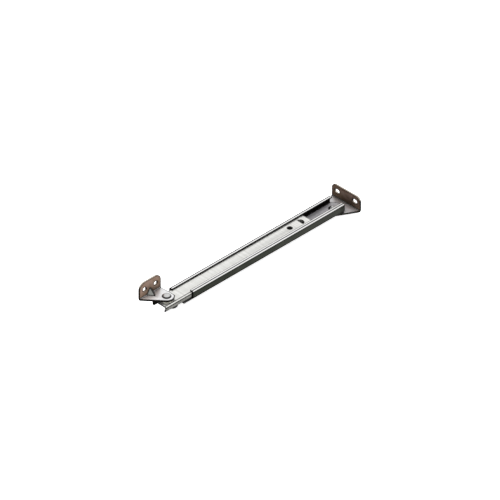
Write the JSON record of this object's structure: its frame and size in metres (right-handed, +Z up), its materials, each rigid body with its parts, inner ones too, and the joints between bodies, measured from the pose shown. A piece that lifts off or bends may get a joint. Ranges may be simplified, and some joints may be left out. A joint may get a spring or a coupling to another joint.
{
  "type": "telescopic friction stay hinge",
  "caption": "Window friction stay: a rail telescopes out of a lipped channel, with a pivoting frame bracket and a pivoting sash bracket, held where it is put by a brake.",
  "frame": {"origin": "centre of the two frame screw slots, on the face of the frame bracket that meets the window frame", "axes": "+X along the stay from the window frame to the sash, +Y to the side away from the sash bracket's flange, +Z up out of the channel's mouth"},
  "size_m": [0.2784, 0.04, 0.034],
  "materials": {
    "bracket_steel": "bent stainless plate, satin",
    "channel_steel": "rolled stainless strip, satin",
    "rail_steel": "rolled stainless strip, fine cross grain",
    "rivet_steel": "formed stainless, polished head",
    "plated_steel": "zinc plated",
    "spring_steel": "hardened and oiled",
    "screw_steel": "blackened",
    "acetal_white": "moulded acetal, natural",
    "acetal_black": "moulded acetal, black",
    "friction_pad": "moulded friction material",
    "black_rubber": "moulded rubber, matt"
  },
  "bodies": {
    "frame_side": {"frame_bracket": "bracket_steel"},
    "channel": {"outer_channel": "channel_steel", "travel_stop_rivet": "rivet_steel", "frame_rivet": "rivet_steel", "frame_bearing_washer": "acetal_white", "frame_disc_spring": "spring_steel", "frame_backing_washer": "plated_steel"},
    "rail": {"slide_rail": "rail_steel", "brake_carrier": "acetal_black", "adjuster_nut": "plated_steel", "thrust_plate": "plated_steel", "leaf_spring": "spring_steel", "brake_pad": "friction_pad", "stop_buffer": "black_rubber", "buffer_rivet": "rivet_steel", "buffer_washer": "plated_steel", "sash_rivet": "rivet_steel", "sash_bearing_washer": "acetal_white", "sash_disc_spring": "spring_steel", "sash_backing_washer": "plated_steel"},
    "adjuster": {"adjuster_screw": "screw_steel"},
    "sash_side": {"sash_bracket": "bracket_steel"}
  },
  "joints": [
    {"name": "frame_pivot", "type": "hinge", "parent": "frame_side", "child": "channel", "pos_m": [0.02, 0, 0], "axis": [0, 0, 1], "range_deg": [-90, 90]},
    {"name": "rail_travel", "type": "slide", "parent": "channel", "child": "rail", "axis": [1, 0, 0], "range_m": [0, 0.13]},
    {"name": "sash_pivot", "type": "hinge", "parent": "rail", "child": "sash_side", "pos_m": [0.2554, 0, 0], "axis": [0, 0, 1], "range_deg": [-90, 180]},
    {"name": "adjuster_turn", "type": "hinge", "parent": "rail", "child": "adjuster", "pos_m": [0.0816, 0, 0], "axis": [0, 0, 1], "range_deg": [-180, 180]}
  ]
}
